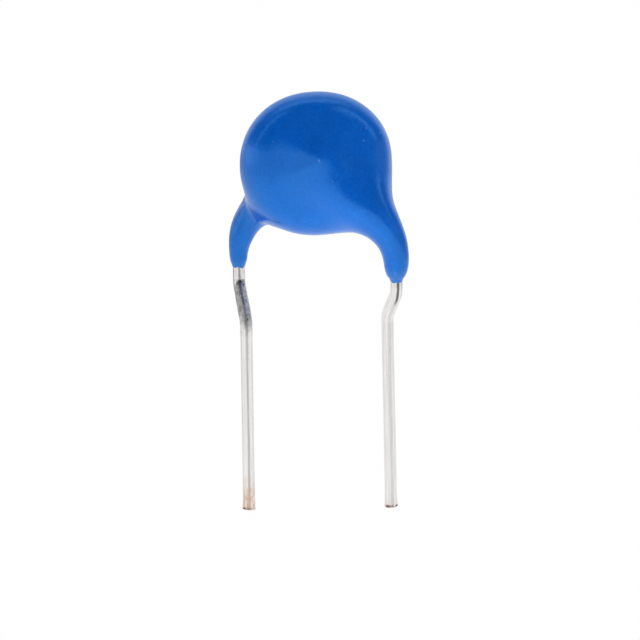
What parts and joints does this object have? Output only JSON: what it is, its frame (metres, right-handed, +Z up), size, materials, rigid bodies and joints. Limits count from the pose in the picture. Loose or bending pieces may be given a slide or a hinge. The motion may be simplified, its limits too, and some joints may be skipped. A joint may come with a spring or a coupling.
{
  "type": "ceramic disc capacitor",
  "caption": "Dipped ceramic disc capacitor with kinked round leads, for soldering into a printed circuit board.",
  "frame": {"origin": "on the seating plane, where the kinks of the leads end, midway between the two leads", "axes": "+Z up through the disc, away from the board; -Y out of the front face; +X towards the front lead"},
  "size_m": [0.009, 0.0049, 0.0225],
  "materials": {
    "coating": "smooth blue dipped epoxy coating, satin gloss",
    "ceramic": "fired ceramic, matt tan",
    "silver": "fired silver paste, satin",
    "solder": "solder, satin",
    "tinned_wire": "bright tinned copper wire with fine drawing lines and bare copper at the cut ends"
  },
  "bodies": {
    "root": {"coating": "coating", "ceramic_disc": "ceramic", "front_electrode": "silver", "rear_electrode": "silver", "front_solder": "solder", "rear_solder": "solder", "front_lead": "tinned_wire", "rear_lead": "tinned_wire"}
  },
  "joints": []
}
